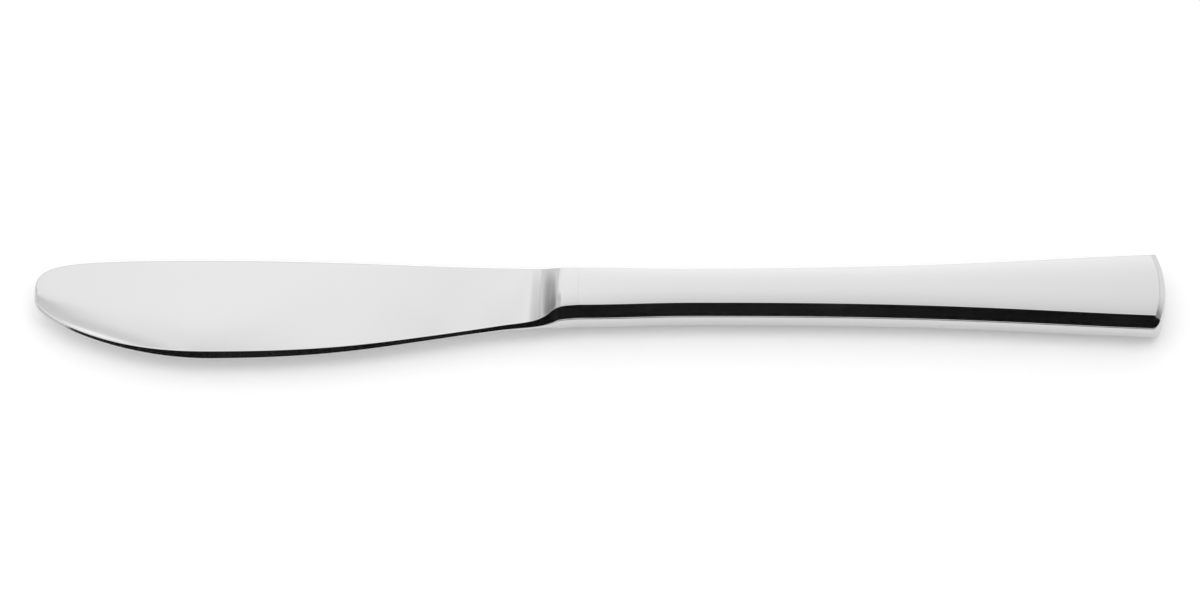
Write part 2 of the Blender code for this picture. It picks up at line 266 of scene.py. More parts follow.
def piece_from_faces(
    name: str, points: list[Vector], faces: Faces, materials: list[bpy.types.Material]
) -> bpy.types.Object:
    """Makes a smooth piece whose true creases stay crisp.

    Args:
        name: The piece's name.
        points: Every corner, where doubled corners are merged.
        faces: The corners of each face.
        materials: The piece's materials.

    Returns:
        The new object, at the origin.
    """
    shape = bmesh.new()
    corners = [shape.verts.new(point) for point in points]
    for face in faces:
        shape.faces.new([corners[corner] for corner in face])
    bmesh.ops.remove_doubles(shape, verts=shape.verts[:], dist=MERGE_DISTANCE)
    bmesh.ops.dissolve_degenerate(shape, edges=shape.edges[:], dist=SLIVER_LENGTH)
    bmesh.ops.recalc_face_normals(shape, faces=shape.faces[:])
    mesh = bpy.data.meshes.new(name)
    shape.to_mesh(mesh)
    shape.free()
    mesh.shade_smooth()
    mesh.set_sharp_from_angle(angle=CREASE_ANGLE)
    for material in materials:
        mesh.materials.append(material)
    return placed(name, mesh)


def placed(name: str, data: bpy.types.ID) -> bpy.types.Object:
    """Puts a mesh, a lamp or a camera into the scene.

    Args:
        name: The object's name.
        data: What the object shows.

    Returns:
        The new object, at the origin.
    """
    made = bpy.data.objects.new(name, data)
    bpy.context.scene.collection.objects.link(made)
    return made


def settled(source: bpy.types.Object, name: str) -> bpy.types.Object:
    """Turns an object with modifiers into a plain mesh object and removes the source.

    Args:
        source: The object to evaluate.
        name: The new object's name.

    Returns:
        The plain object, with its creases crisp.
    """
    graph = bpy.context.evaluated_depsgraph_get()
    mesh = bpy.data.meshes.new_from_object(source.evaluated_get(graph))
    mesh.name = name
    mesh.set_sharp_from_angle(angle=CREASE_ANGLE)
    bpy.data.objects.remove(source)
    return placed(name, mesh)


class Side(NamedTuple):
    """One side of a section: its place, the way in, and the sizes of its wall, slope and face."""

    point: Vector
    way: Vector
    wall: float
    slope: float
    face: float
    swell: float


class FaceForm(NamedTuple):
    """The face of a section: its crown, its fall to the edge, and how soft its creases are."""

    crown: float
    crown_power: float
    roll: float
    wall_softness: float
    face_softness: float


def paired_sides(x: float, half: float, heights: tuple[float, ...]) -> tuple[Side, Side]:
    """Gives both sides of a section at x that is even about the axis, the edge's side first."""
    near = Side(Vector((x, -half)), Vector((0.0, 1.0)), *heights)
    return near, Side(Vector((x, half)), Vector((0.0, -1.0)), *heights)


def section_line(near: Side, far: Side, form: FaceForm, steps: int) -> list[Vector]:
    """Traces the upper half of a section, from the edge over the face to the spine.

    Args:
        near: The side with the cutting edge.
        far: The side with the spine.
        form: The face between them.
        steps: Facets across the face.

    Returns:
        The points, as heights above the seam.
    """
    soft = (form.wall_softness, form.face_softness)
    sides = []
    for side in (near, far):
        profile = side_profile(0.0, side.wall, side.slope, side.face, side.swell, soft)
        sides.append([(side.point + side.way * inset, height) for inset, height in profile])
    near_line, far_line = sides
    points = [Vector((place.x, place.y, height)) for place, height in near_line[:-1]]
    start, end = near_line[-1], far_line[-1]
    lead = FACE_LEAD / ((end[0] - start[0]).length + 2 * FACE_LEAD)
    for step in range(steps + 1):
        share = (1 - math.cos(math.pi * step / steps)) / 2
        place = start[0].lerp(end[0], share)
        wedge = end[1] + (start[1] - end[1]) * (1 - share) ** form.roll
        off_middle = abs(2 * share - 1) * (1 - 2 * lead)
        crown = form.crown * (1 - off_middle**form.crown_power)
        points.append(Vector((place.x, place.y, wedge + crown)))
    points += [Vector((place.x, place.y, height)) for place, height in reversed(far_line[:-1])]
    return points


def whole_ring(half: list[Vector], mid_z: float) -> list[Vector]:
    """Mirrors the upper half of a section and lifts the whole ring to the seam's height."""
    below = [Vector((p.x, p.y, -p.z)) for p in reversed(half[1:-1])]
    return [Vector((p.x, p.y, p.z + mid_z)) for p in half + below]


@dataclass(frozen=True)
class MirrorSteel:
    """Stainless steel, ground fine and buffed to a mirror.

    It shows the studio in clear, slightly soft reflections, with faint hairlines from the
    buffing wheel and a barely cloudy film from handling.
    """

    name: str
    run: PolishRun
    colour: str = "#D1D1D1"
    roughness: float = 0.12
    cloudiness: float = 0.08
    cloud_size: float = 14 * MM
    hairline_width: float = 0.35 * MM
    hairline_length: float = 18 * MM
    hairline_roughness: float = 0.02
    hairline_tint: float = 0.03
    hairline_depth: float = 0.01 * MM
    hairline_relief: float = 0.02

    def material(self) -> bpy.types.Material:
        """Builds the shader.

        Returns:
            The material.
        """
        made, tree = new_material(self.name)
        place = add_node(tree, "ShaderNodeTexCoord")["Object"]
        along, across = 1 / self.hairline_length, 1 / self.hairline_width
        scale = (along, across, across) if self.run is PolishRun.ALONG else (across, along, across)
        stretched = add_node(tree, "ShaderNodeMapping", {"Vector": place, "Scale": scale})["Vector"]
        # Real buffing lines are near 0.02 mm apart. They are drawn coarser, so that they show.
        pattern = {"Vector": stretched, "Scale": 1.0, "Detail": 3.0, "Roughness": 0.6}
        hairlines = add_node(tree, "ShaderNodeTexNoise", pattern)["Fac"]
        pattern = {"Vector": place, "Scale": 1 / self.cloud_size, "Detail": 4.0}
        cloud = add_node(tree, "ShaderNodeTexNoise", pattern)["Fac"]
        low, high = (self.roughness * (1 + side * self.cloudiness) for side in (-1, 1))
        spread = {"Value": cloud, **NOISE_SPREAD, "To Min": low, "To Max": high}
        film = add_node(tree, "ShaderNodeMapRange", spread)["Result"]
        spread = {"Value": hairlines, **NOISE_SPREAD, "To Max": self.hairline_roughness}
        lines = add_node(tree, "ShaderNodeMapRange", spread)["Result"]
        rough = add_node(tree, "ShaderNodeMath", {0: film, 1: lines}, operation="ADD")["Value"]
        mix = {"Factor": self.hairline_tint, "A": linear(self.colour), "B": hairlines}
        tinted = {"data_type": "RGBA", "blend_type": "MULTIPLY"}
        tint = add_node(tree, "ShaderNodeMix", mix, **tinted)["Result"]
        relief = {"Strength": self.hairline_relief, "Distance": self.hairline_depth}
        bump = add_node(tree, "ShaderNodeBump", {**relief, "Height": hairlines})["Normal"]
        metal = {"Metallic": 1.0, "Roughness": rough, "Base Color": tint, "Normal": bump}
        feed(tree.nodes["Principled BSDF"], metal)
        return made


@dataclass(frozen=True)
class SilverBraze:
    """Silver braze, melted into the joint and polished flush with the steel.

    It is a touch warmer and duller than the steel, so that it hardly shows as a line.
    """

    name: str = "silver_braze_polished_flush"
    colour: str = "#CFCFCE"
    roughness: tuple[float, float] = (0.11, 0.15)
    flow_size: float = 1.5 * MM
    flow_tint: float = 0.06
    flow_depth: float = 0.01 * MM
    flow_relief: float = 0.05

    def material(self) -> bpy.types.Material:
        """Builds the shader.

        Returns:
            The material.
        """
        made, tree = new_material(self.name)
        place = add_node(tree, "ShaderNodeTexCoord")["Object"]
        pattern = {"Vector": place, "Scale": 1 / self.flow_size, "Detail": 3.0}
        flow = add_node(tree, "ShaderNodeTexNoise", pattern)["Fac"]
        low, high = self.roughness
        spread = {"Value": flow, "To Min": low, "To Max": high}
        rough = add_node(tree, "ShaderNodeMapRange", spread)["Result"]
        mix = {"Factor": self.flow_tint, "A": linear(self.colour), "B": flow}
        tinted = {"data_type": "RGBA", "blend_type": "MULTIPLY"}
        tint = add_node(tree, "ShaderNodeMix", mix, **tinted)["Result"]
        relief = {"Strength": self.flow_relief, "Distance": self.flow_depth, "Height": flow}
        bump = add_node(tree, "ShaderNodeBump", relief)["Normal"]
        metal = {"Metallic": 1.0, "Roughness": rough, "Base Color": tint, "Normal": bump}
        feed(tree.nodes["Principled BSDF"], metal)
        return made


@dataclass(frozen=True)
class SetCement:
    """Filling cement, poured in and set: matt, grey, with sand grains and pores."""

    name: str = "filling_cement_poured"
    colour: str = "#ACA9A1"
    grain_colour: str = "#7F7B73"
    roughness: tuple[float, float] = (0.82, 0.98)
    grain_size: float = 0.6 * MM
    pore_size: float = 1.1 * MM
    pore_depth: float = 0.1 * MM
    pore_relief: float = 0.4

    def material(self) -> bpy.types.Material:
        """Builds the shader.

        Returns:
            The material.
        """
        made, tree = new_material(self.name)
        place = add_node(tree, "ShaderNodeTexCoord")["Object"]
        pattern = {"Vector": place, "Scale": 1 / self.grain_size, "Detail": 4.0}
        grains = add_node(tree, "ShaderNodeTexNoise", pattern)["Fac"]
        pattern = {"Vector": place, "Scale": 1 / self.pore_size}
        pores = add_node(tree, "ShaderNodeTexVoronoi", pattern)["Distance"]
        mix = {"Factor": grains, "A": linear(self.grain_colour), "B": linear(self.colour)}
        colour = add_node(tree, "ShaderNodeMix", mix, data_type="RGBA")["Result"]
        low, high = self.roughness
        spread = {"Value": grains, "To Min": low, "To Max": high}
        rough = add_node(tree, "ShaderNodeMapRange", spread)["Result"]
        relief = {"Strength": self.pore_relief, "Distance": self.pore_depth, "Height": pores}
        bump = add_node(tree, "ShaderNodeBump", relief)["Normal"]
        matt = {"Base Color": colour, "Roughness": rough, "Normal": bump}
        feed(tree.nodes["Principled BSDF"], matt)
        return made


@dataclass(frozen=True)
class HandleForm:
    """The handle's outside form, which the shells, the bolster and the braze all share."""

    joint_x: float = -4.0 * MM
    butt_x: float = 103.628 * MM
    thickness: float = 8.2 * MM
    bevel_width: float = 1.55 * MM
    bevel_drop: float = 2.55 * MM
    end_bevel_width: float = 1.1 * MM
    end_bevel_drop: float = 1.1 * MM
    wall_swell: float = 0.24
    crown_tilt: float = 0.095
    crown_power: float = 2.5
    neck_half: float = 5.56 * MM
    waist_half: float = 5.2 * MM
    waist_from_joint: float = 20.0 * MM
    butt_half: float = 8.0 * MM
    butt_straight: float = 5.0 * MM
    butt_flare: float = 0.05
    butt_radius: float = 21.0 * MM
    corner_radius: float = 1.4 * MM
    least_corner: float = 0.2 * MM
    corner_leads: tuple[float, float] = (0.4 * MM, 0.1 * MM)
    neck_reach: float = 9.0 * MM
    waist_front_reach: float = 7.0 * MM
    waist_back_reach: float = 45.0 * MM
    butt_reach: float = 22.0 * MM
    wall: float = 1.0 * MM
    wall_softness: float = 0.16 * MM
    face_softness: float = 0.12 * MM
    braze_thickness: float = 0.12 * MM
    braze_gap: float = 0.001 * MM
    least_step: float = 0.1 * MM

    @property
    def mid_z(self) -> float:
        """Gives the height of the seam."""
        return self.thickness / 2

    @property
    def wall_half(self) -> float:
        """Gives half the height of the upright side wall."""
        return self.thickness / 2 - self.bevel_drop

    @property
    def rim_half(self) -> float:
        """Gives the height of a shell's rim above or below the seam's middle."""
        return self.braze_thickness / 2 + self.braze_gap

    @property
    def seam_swell(self) -> float:
        """Gives how far the convex wall stands out at the seam."""
        return self.wall_swell * self.wall_half

    @property
    def shell_x(self) -> float:
        """Gives where the shells start, behind the braze at the bolster."""
        return self.joint_x + self.braze_thickness + 2 * self.braze_gap

    @property
    def neck_crown(self) -> float:
        """Gives how far the crowned face falls to its two creases at the neck."""
        half = self.neck_half - self.bevel_width
        return self.crown_drop(half, half)

    @property
    def corner_turn(self) -> float:
        """Gives the angle the outline turns through at the butt's corner."""
        end_angle = math.asin(self.butt_half / self.butt_radius)
        return math.pi / 2 + math.atan(self.butt_flare) - end_angle

    def crown_drop(self, y: float, half_width: float) -> float:
        """Gives how far a crowned face of this half width has fallen at y from its middle."""
        share = abs(y) / half_width
        return self.crown_tilt * half_width / self.crown_power * share**self.crown_power

    def corner(self, offset: float) -> tuple[float, float, float, float]:
        """Finds the corners of the handle's section with all its faces moved in.

        Args:
            offset: How far the faces move in.

        Returns:
            The wall's inset and half height, then the face's inset and half height.
        """
        slant = math.hypot(self.bevel_width, self.bevel_drop)
        across, up = self.bevel_drop / slant, self.bevel_width / slant
        wall_half = self.wall_half - offset * (1 - across) / up
        face_inset = self.bevel_width + offset * (1 - up) / across
        return offset, wall_half, face_inset, self.thickness / 2 - offset

    def even_sides(self, x: float, offset: float, swell: float) -> tuple[Side, Side]:
        """Gives both sides of the neck's section at x.

        Args:
            x: The place along the knife.
            offset: How far all the faces are moved in.
            swell: How far the walls stand out at the seam.

        Returns:
            The side with the edge and the side with the spine.
        """
        inset, wall, face_inset, face = self.corner(offset)
        heights = (wall, face_inset - inset, face - self.neck_crown, swell)
        return paired_sides(x, self.neck_half - inset, heights)

    def bevel_height(self, place: Vector, crown: float) -> float:
        """Gives the height that the side's bevel has over a place near the butt.

        Args:
            place: The place, on the spine side.
            crown: How far the crowned face has fallen at the bevel.

        Returns:
            The height above the seam.
        """
        inward = Vector((self.butt_flare, -1.0)) / math.hypot(1.0, self.butt_flare)
        side = Vector((self.butt_x - self.butt_straight, self.butt_half))
        inset = (place.xy - side).dot(inward)
        return self.wall_half + (self.bevel_drop - crown) / self.bevel_width * inset

    def side_curves(self) -> list[Curve]:
        """Gives half the handle's width along it.

        Returns:
            A curve from the neck to the waist, and one from the waist to the flare's end.
        """
        waist_x = self.joint_x + self.waist_from_joint
        straight_x = self.butt_x - self.butt_straight
        return [
            [
                (self.joint_x, self.neck_half),
                (self.joint_x + self.neck_reach, self.neck_half),
                (waist_x - self.waist_front_reach, self.waist_half),
                (waist_x, self.waist_half),
            ],
            [
                (waist_x, self.waist_half),
                (waist_x + self.waist_back_reach, self.waist_half),
                (straight_x - self.butt_reach, self.butt_half - self.butt_flare * self.butt_reach),
                (straight_x, self.butt_half),
            ],
        ]

    def butt_points(
        self, inset: float, end_inset: float, corner_steps: int, end_steps: int
    ) -> list[Vector]:
        """Traces half the butt, from the side round the corner to the axis.

        Args:
            inset: How far inside the side's wall the line runs.
            end_inset: How far inside the butt's end it runs.
            corner_steps: Facets in the corner.
            end_steps: Facets in half the curved end.

        Returns:
            The points, seen from above.
        """
        flare = math.hypot(1.0, self.butt_flare)
        along = Vector((1.0, self.butt_flare)) / flare
        inward = Vector((self.butt_flare, -1.0)) / flare
        corner = max(self.corner_radius - max(inset, end_inset), self.least_corner)
        radius = self.butt_radius - end_inset
        centre = Vector((self.butt_x - self.butt_radius, 0.0))
        side = Vector((self.butt_x - self.butt_straight, self.butt_half)) + inward * inset
        start = side + inward * corner - centre
        slide = start.dot(along)
        ahead = -slide + math.sqrt(slide**2 - start.length_squared + (radius - corner) ** 2)
        corner_centre = centre + start + along * ahead
        reach = corner_centre - centre
        from_angle = math.atan2(-inward.y, -inward.x)
        to_angle = math.atan2(reach.y, reach.x)
        corner_start = corner_centre - inward * corner
        points = [corner_start - along * lead for lead in self.corner_leads]
        for step in range(corner_steps + 1):
            angle = from_angle + (to_angle - from_angle) * step / corner_steps
            points.append(corner_centre + corner * Vector((math.cos(angle), math.sin(angle))))
        for step in range(1, end_steps + 1):
            angle = to_angle * (1 - step / end_steps)
            points.append(centre + radius * Vector((math.cos(angle), math.sin(angle))))
        return points

    def far_side(
        self, front_x: float, inset: float, end_inset: float, steps: tuple[int, int, int]
    ) -> list[Vector]:
        """Traces the spine side of the handle and half its butt, seen from above.

        Args:
            front_x: Where the line starts.
            inset: How far inside the side's wall it runs.
            end_inset: How far inside the butt's end it runs.
            steps: Points along each curve of the side, in the butt's corner and in half its end.

        Returns:
            The points from the front to the butt's end on the axis.
        """
        side_steps, corner_steps, end_steps = steps
        curves = self.side_curves()
        points = [Vector((front_x, curve_at(curves, max(front_x, self.joint_x)) - inset))]
        for curve in curves:
            for step in range(1, side_steps + 1):
                place = bezier(curve, step / side_steps)
                if place.x > front_x + self.least_step:
                    points.append(Vector((place.x, place.y - inset)))
        return points + self.butt_points(inset, end_inset, corner_steps, end_steps)

    def outline(self, front_x: float, inset: float, steps: tuple[int, int, int]) -> list[Vector]:
        """Traces both sides at one inset, from the front round the butt, seen from above."""
        far = self.far_side(front_x, inset, inset, steps)
        return [Vector((p.x, -p.y)) for p in far[:-1]] + far[::-1]


@dataclass(frozen=True)
class Rise:
    """How one line of the bolster climbs from the blade to the level collar.

    A share of the climb can start early and gently, ahead of the steep ramp.
    """

    start_x: float
    power: float
    blur: float
    top_x: float
    early_share: float = 0.0
    early_x: float = -30.0 * MM
    early_power: float = 2.0
    samples: int = 9

    def at(self, x: float) -> float:
        """Gives how far the line has climbed, with the top's crease slightly rounded.

        Args:
            x: The place along the knife.

        Returns:
            The share of the climb, from 0 to 1.
        """
        total = 0.0
        for sample in range(self.samples):
            place = x + self.blur * (2 * sample / (self.samples - 1) - 1)
            late = clamped((place - self.start_x) / (self.top_x - self.start_x)) ** self.power
            early = clamped((place - self.early_x) / (self.top_x - self.early_x))
            total += late + (early**self.early_power - late) * self.early_share
        return total / self.samples


@dataclass
class BladeForging:
    """The blade, its bolster and collar, and the spigot and tang that the handle hides."""

    form: HandleForm
    tip_x: float = -104.0 * MM
    heel_x: float = -17.5 * MM
    nose_offset: float = 0.82 * MM
    nose_flat: float = 1.94 * MM
    crest_from_tip: float = 22.0 * MM
    crest_rise: float = 7.7 * MM
    belly_from_tip: float = 32.8 * MM
    belly_drop: float = 12.98 * MM
    spine_reaches: tuple[float, ...] = (5.25 * MM, 18.7 * MM, 38.6 * MM, 29.1 * MM)
    edge_reaches: tuple[float, ...] = (4.56 * MM, 16.6 * MM, 30.9 * MM, 30.6 * MM)
    edge_neck_slope: float = 0.087
    bulge: float = 0.18 * MM
    bulge_start_x: float = -18.6 * MM
    bulge_end_x: float = -5.4 * MM
    spine_thickness: float = 2.9 * MM
    tip_thickness: float = 1.2 * MM
    tip_taper_power: float = 5.0
    edge_land: float = 0.16 * MM
    nose_bevel: float = 0.32 * MM
    belly_bevel: float = 0.84 * MM
    heel_bevel: float = 0.44 * MM
    bevel_growth: float = 1.5
    bevel_angle: float = 52.0
    spine_chamfer: float = 0.3 * MM
    spine_rise: Rise = Rise(-18.6 * MM, 5.2, 0.8 * MM, -7.7 * MM)
    face_rise: Rise = Rise(-18.4 * MM, 6.0, 1.05 * MM, -7.8 * MM, 0.28)
    wall_rise: Rise = Rise(-13.06 * MM, 3.28, 0.3 * MM, -7.52 * MM, 0.32)
    ramp_crown: float = 0.1 * MM
    ramp_crown_start_x: float = -12.0 * MM
    ramp_crown_end_x: float = -7.0 * MM
    ramp_crown_skew: float = 2.1
    belly_roll: float = 5.0
    roll_fade: float = 4.0
    edge_softness: float = 0.06 * MM
    squaring_length: float = 3.0 * MM
    slope_step: float = 0.02 * MM
    spigot_length: float = 5.0 * MM
    spigot_clearance: float = 0.15 * MM
    tang_length: float = 58.0 * MM
    tang_width: float = 5.0 * MM
    tang_thickness: float = 3.0 * MM
    tang_chamfer: float = 0.4 * MM
    blade_steps: int = 150
    ramp_steps: int = 60
    collar_steps: int = 12
    across_steps: int = 28

    @property
    def belly_x(self) -> float:
        """Gives the place of the belly, where the blade is widest."""
        return self.tip_x + self.belly_from_tip

    def spine_curves(self) -> list[Curve]:
        """Draws the spine, seen from above.

        Returns:
            A curve from the tip to the crest, and one from the crest to the joint.
        """
        up, before, after, neck = self.spine_reaches
        tip_x, nose = self.tip_x, self.nose_offset + self.nose_flat / 2
        crest_x, rise = self.tip_x + self.crest_from_tip, self.crest_rise
        joint_x, half = self.form.joint_x, self.form.neck_half
        return [
            [(tip_x, nose), (tip_x, nose + up), (crest_x - before, rise), (crest_x, rise)],
            [(crest_x, rise), (crest_x + after, rise), (joint_x - neck, half), (joint_x, half)],
        ]

    def edge_curves(self) -> list[Curve]:
        """Draws the cutting edge, seen from above.

        Returns:
            A curve from the tip to the belly, and one from the belly to the joint.
        """
        down, before, after, neck = self.edge_reaches
        tip_x, nose = self.tip_x, self.nose_offset - self.nose_flat / 2
        belly_x, drop = self.belly_x, -self.belly_drop
        joint_x, half = self.form.joint_x, -self.form.neck_half
        neck_y = half - self.edge_neck_slope * neck
        return [
            [(tip_x, nose), (tip_x, nose - down), (belly_x - before, drop), (belly_x, drop)],
            [(belly_x, drop), (belly_x + after, drop), (joint_x - neck, neck_y), (joint_x, half)],
        ]

    def edge_bevel(self, x: float) -> float:
        """Gives the width of the ground bevel beside the edge, widest at the belly.

        Args:
            x: The place along the knife.

        Returns:
            The bevel's width.
        """
        if x < self.belly_x:
            share = ((x - self.tip_x) / self.belly_from_tip) ** self.bevel_growth
            return eased(self.nose_bevel, self.belly_bevel, share)
        share = min((x - self.belly_x) / (self.heel_x - self.belly_x), 1.0)
        return eased(self.belly_bevel, self.heel_bevel, share)

    def roll(self, x: float) -> float:
        """Gives the power of the face's fall to the edge: steep at the belly, 1 at the heel."""
        share = clamped((x - self.belly_x) / (self.heel_x - self.belly_x))
        return 1 + self.belly_roll * (1 - share) ** self.roll_fade

    def spine_half(self, x: float) -> float:
        """Gives half the blade's thickness at the spine, thinning towards the tip.

        Args:
            x: The place along the knife.

        Returns:
            Half the thickness.
        """
        from_heel = max((self.heel_x - x) / (self.heel_x - self.tip_x), 0.0)
        lost = (self.spine_thickness - self.tip_thickness) * from_heel**self.tip_taper_power
        return (self.spine_thickness - lost) / 2

    def edge_y(self, x: float) -> float:
        """Gives the edge's place across the knife, with the bulge of the bolster's near side."""
        share = clamped((x - self.bulge_start_x) / (self.bulge_end_x - self.bulge_start_x))
        return curve_at(self.edge_curves(), x) - self.bulge * math.sin(math.pi * share) ** 2

    def spine_y(self, x: float) -> float:
        """Gives the spine's place across the knife."""
        return curve_at(self.spine_curves(), x)

    def inward(self, line: Callable[[float], float], x: float, side: int) -> Vector:
        """Finds the level direction from the outline into the blade.

        Args:
            line: The spine or the edge, as its y at any x.
            x: The place along the knife.
            side: 1 on the edge, where inwards is +Y, and -1 on the spine.

        Returns:
            A unit vector seen from above.
        """
        step = self.slope_step
        if x - self.tip_x < step:
            return Vector((1.0, 0.0))
        slope = (line(x + step) - line(x - step)) / (2 * step)
        # Over the collar the sections turn square, so that its back closes on the shells' mouth.
        slope *= clamped((self.form.joint_x - x) / self.squaring_length)
        return Vector((-slope * side, side)).normalized()

    def places(self) -> list[float]:
        """Spaces the sections, close together at the nose and on the bolster.

        Returns:
            Their places along the knife, from the tip to the joint.
        """
        quarter = math.pi / 2
        blade = self.heel_x - self.tip_x
        found = []
        for step in range(self.blade_steps):
            found.append(self.tip_x + blade * (1 - math.cos(quarter * step / self.blade_steps)))
        ramp = self.spine_rise.top_x + 2 * self.spine_rise.blur - self.heel_x
        for step in range(self.ramp_steps):
            found.append(self.heel_x + ramp * math.sin(quarter * step / self.ramp_steps))
        collar_x = self.heel_x + ramp
        for step in range(self.collar_steps + 1):
            found.append(collar_x + (self.form.joint_x - collar_x) * step / self.collar_steps)
        return found

    def edge_side(self, x: float) -> Side:
        """Shapes the side with the cutting edge, where the bevel grows into the bolster's.

        Args:
            x: The place along the knife.

        Returns:
            The side of the section there.
        """
        form = self.form
        rise = self.face_rise.at(x)
        land = self.edge_land / 2
        wall = land + (form.wall_half - land) * self.wall_rise.at(x)
        steep = math.tan(math.radians(self.bevel_angle))
        ground = land + self.edge_bevel(x) * steep
        face = ground + (form.thickness / 2 - form.neck_crown - ground) * rise
        full = (form.bevel_drop - form.neck_crown) / form.bevel_width
        slope = (face - wall) / (steep + (full - steep) * rise)
        heights = (wall, slope, face, form.wall_swell * wall)
        return Side(Vector((x, self.edge_y(x))), self.inward(self.edge_y, x, 1), *heights)

    def spine_side(self, x: float) -> Side:
        """Shapes the side with the spine, which keeps its small chamfer up to the bolster.

        Args:
            x: The place along the knife.

        Returns:
            The side of the section there.
        """
        form = self.form
        rise = self.spine_rise.at(x)
        thick, chamfer = self.spine_half(x), self.spine_chamfer
        blade = (thick - chamfer, chamfer, thick)
        collar = (form.wall_half, form.bevel_width, form.thickness / 2 - form.neck_crown)
        heights = [a + (b - a) * rise for a, b in zip(blade, collar)]
        heights.append(form.wall_swell * heights[0])
        return Side(Vector((x, self.spine_y(x))), self.inward(self.spine_y, x, -1), *heights)

    def ramp_crown_at(self, x: float) -> float:
        """Gives how much fuller the ramp is along its middle than at its sides."""
        share = (x - self.ramp_crown_start_x) / (self.ramp_crown_end_x - self.ramp_crown_start_x)
        return self.ramp_crown * math.sin(math.pi * clamped(share) ** self.ramp_crown_skew) ** 2

    def outer_sections(self) -> list[list[Vector]]:
        """Traces the blade and the bolster.

        Returns:
            The upper halves of their sections, from the nose to the joint.
        """
        form, soft = self.form, self.edge_softness
        found = []
        for x in self.places():
            rise = self.spine_rise.at(x)
            wall_soft = soft + (form.wall_softness - soft) * rise
            face_soft = soft + (form.face_softness - soft) * rise
            crown = form.neck_crown * rise + self.ramp_crown_at(x)
            face = FaceForm(crown, form.crown_power, self.roll(x), wall_soft, face_soft)
            sides = (self.edge_side(x), self.spine_side(x))
            found.append(section_line(*sides, face, self.across_steps))
        return found

    def inner_sections(self) -> list[list[Vector]]:
        """Traces the spigot and the tang, which the handle hides.

        Returns:
            The upper halves of their sections, from the joint to the tang's end.
        """
        form = self.form
        spigot_x = form.joint_x + self.spigot_length
        offset = form.wall + self.spigot_clearance
        sections = [form.even_sides(x, offset, 0.0) for x in (form.joint_x, spigot_x)]
        face = self.tang_thickness / 2
        heights = (face - self.tang_chamfer, self.tang_chamfer, face, 0.0)
        for x in (spigot_x, spigot_x + self.tang_length):
            sections.append(paired_sides(x, self.tang_width / 2, heights))
        flat = FaceForm(0.0, form.crown_power, 1.0, self.edge_softness, self.edge_softness)
        return [section_line(*sides, flat, self.across_steps) for sides in sections]

    def build(self, steel: bpy.types.Material) -> bpy.types.Object:
        """Skins the sections and dresses the forging.

        Args:
            steel: The forging's polished steel.

        Returns:
            The forging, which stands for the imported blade.
        """
        halves = self.outer_sections() + self.inner_sections()
        rings = [whole_ring(half, self.form.mid_z) for half in halves]
        count = len(rings[0])
        points, faces = joined_rings(rings)
        levels = (len(halves[0]) - self.across_steps + 1) // 2
        top = len(halves[0]) - 1
        for step in range(levels - 1):
            # The nose's innermost strip takes in every point along the face, so the skin closes.
            stride = 1 if step == levels - 2 else top - 2 * step - 2
            faces.append((step, *range(step + 1, top - step, stride), top - step))
            low, high = (count - step) % count, count - step - 1
            faces.append((low, *range(high, top + step, -stride), top + step))
        faces.append(tuple(range(len(points) - count, len(points))))
        piece = piece_from_faces("blade_forging", points, faces, [steel])
        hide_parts("blade")
        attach(piece, "root")
        return piece


